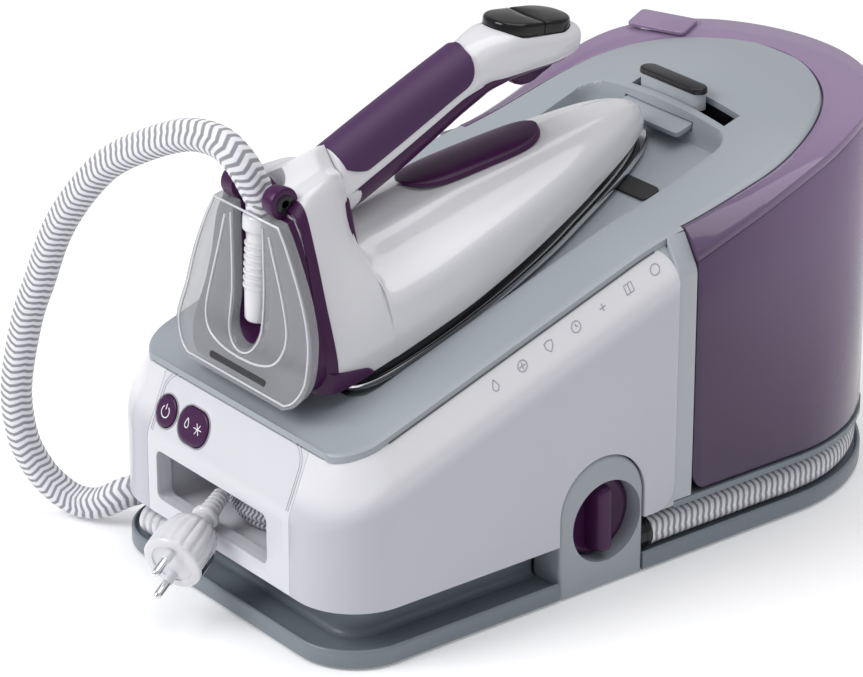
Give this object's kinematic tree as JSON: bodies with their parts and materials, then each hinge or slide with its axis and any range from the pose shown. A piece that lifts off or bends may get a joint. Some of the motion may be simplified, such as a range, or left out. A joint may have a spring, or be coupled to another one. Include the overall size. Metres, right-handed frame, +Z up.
{
  "type": "steam generator iron",
  "caption": "Steam generator iron: a sloping base with a wrap-round removable tank, cord compartment and descaling knob, and an iron at rest, joined by a braided hose.",
  "frame": {"origin": "centre of the base's footprint, on the surface it stands on", "axes": "+Z up, -Y towards the front panel and the iron's heel, +X towards the descaling knob"},
  "size_m": [0.2985, 0.5206, 0.3174],
  "materials": {
    "white_gloss": "glossy white moulded plastic",
    "panel_white": "satin white moulded plastic",
    "deck_grey": "satin cool grey plastic",
    "tray_grey": "satin darker grey plastic",
    "plum": "satin dark plum plastic",
    "tank_purple": "translucent purple tank plastic",
    "smoke_clear": "smoke-tinted clear plastic",
    "graphite": "graphite plastic",
    "rubber": "soft dark rubber",
    "steel": "polished and brushed steel",
    "aluminium": "cast aluminium",
    "brass": "turned brass",
    "braid": "white and grey chevron textile braid",
    "board_green": "green circuit board"
  },
  "bodies": {
    "base": {"side_shell_left": "white_gloss", "side_shell_right": "white_gloss", "cartridge_seat": "white_gloss", "plug_body": "white_gloss", "plug_boot": "white_gloss", "hose_clip": "white_gloss", "front_panel": "panel_white", "cord_compartment": "panel_white", "top_deck": "deck_grey", "rear_frame": "deck_grey", "knob_tower": "deck_grey", "base_tray": "tray_grey", "base_plinth": "tray_grey", "chassis_plate": "tray_grey", "tank_platform": "tray_grey", "rear_column": "tray_grey", "pump": "graphite", "hose_gland": "graphite", "mains_gland": "graphite", "foot_front_left": "rubber", "foot_front_right": "rubber", "foot_rear_left": "rubber", "foot_rear_right": "rubber", "rest_pad_front_left": "rubber", "rest_pad_front_right": "rubber", "rest_pad_rear_left": "rubber", "rest_pad_rear_right": "rubber", "plug_pin_lower": "steel", "plug_pin_upper": "steel", "boiler": "aluminium", "boiler_element": "brass", "steam_valve": "brass", "steam_hose": "braid", "mains_coil": "braid", "mains_cord": "braid", "control_board": "board_green"},
    "power_button": {"power_button": "plum"},
    "steam_button": {"steam_button": "plum"},
    "cartridge": {"descale_cartridge": "white_gloss", "cartridge_seal": "rubber"},
    "knob": {"descale_knob": "plum"},
    "tank": {"water_tank": "tank_purple", "tank_cover": "tank_purple"},
    "flap": {"tank_flap": "tank_purple"},
    "slider": {"lock_slider": "graphite"},
    "tongue": {"lock_tongue": "deck_grey"},
    "iron": {"soleplate": "steel", "heater_casting": "aluminium", "iron_skirt": "graphite", "iron_shell": "white_gloss", "heel_plate": "plum", "top_inlay": "plum", "handle_shell": "white_gloss", "handle_grip": "plum", "handle_underside": "plum", "display_panel": "graphite", "heel_stand": "smoke_clear", "hose_boot": "white_gloss"},
    "mode_button": {"mode_button": "graphite"},
    "trigger": {"steam_trigger": "plum"}
  },
  "joints": [
    {"name": "iron_lift", "type": "slide", "parent": "base", "child": "iron", "axis": [0, -0.2962, 0.9551], "range_m": [0, 0.15], "deforming": ["steam_hose"]},
    {"name": "lock_slide", "type": "slide", "parent": "base", "child": "slider", "axis": [1, 0, 0], "range_m": [0, 0.022]},
    {"name": "tongue_slide", "type": "slide", "parent": "base", "child": "tongue", "axis": [0, -0.9551, -0.2962], "range_m": [0, 0.006]},
    {"name": "tank_pull", "type": "slide", "parent": "base", "child": "tank", "axis": [0, 1, 0], "range_m": [0, 0.21]},
    {"name": "flap_hinge", "type": "hinge", "parent": "tank", "child": "flap", "pos_m": [-0.08316, 0.16608, 0.24173], "axis": [0.9308, 0.3655, 0], "range_deg": [0, 95]},
    {"name": "cartridge_pull", "type": "slide", "parent": "base", "child": "cartridge", "axis": [1, 0, 0], "range_m": [0, 0.06]},
    {"name": "knob_turn", "type": "hinge", "parent": "cartridge", "child": "knob", "pos_m": [0.1003, -0.039, 0.042], "axis": [1, 0, 0], "range_deg": [0, 90]},
    {"name": "power_press", "type": "slide", "parent": "base", "child": "power_button", "axis": [0, 0.9267, -0.3758], "range_m": [0, 0.0012], "stiffness_N_per_m": 600, "springref_m": -0.001},
    {"name": "steam_press", "type": "slide", "parent": "base", "child": "steam_button", "axis": [0, 0.9267, -0.3758], "range_m": [0, 0.0012], "stiffness_N_per_m": 600, "springref_m": -0.001},
    {"name": "mode_press", "type": "slide", "parent": "iron", "child": "mode_button", "axis": [0, -0.1179, -0.993], "range_m": [0, 0.0008], "stiffness_N_per_m": 600, "springref_m": -0.001},
    {"name": "trigger_pull", "type": "hinge", "parent": "iron", "child": "trigger", "pos_m": [0, 0.00519, 0.28275], "axis": [-1, 0, 0], "range_deg": [0, 5], "stiffness_Nm_per_rad": 0.4, "springref_deg": -5.73}
  ],
  "couplings": [
    {"joint": "tongue_slide", "follows": "lock_slide", "ratio": 0.27273}
  ]
}
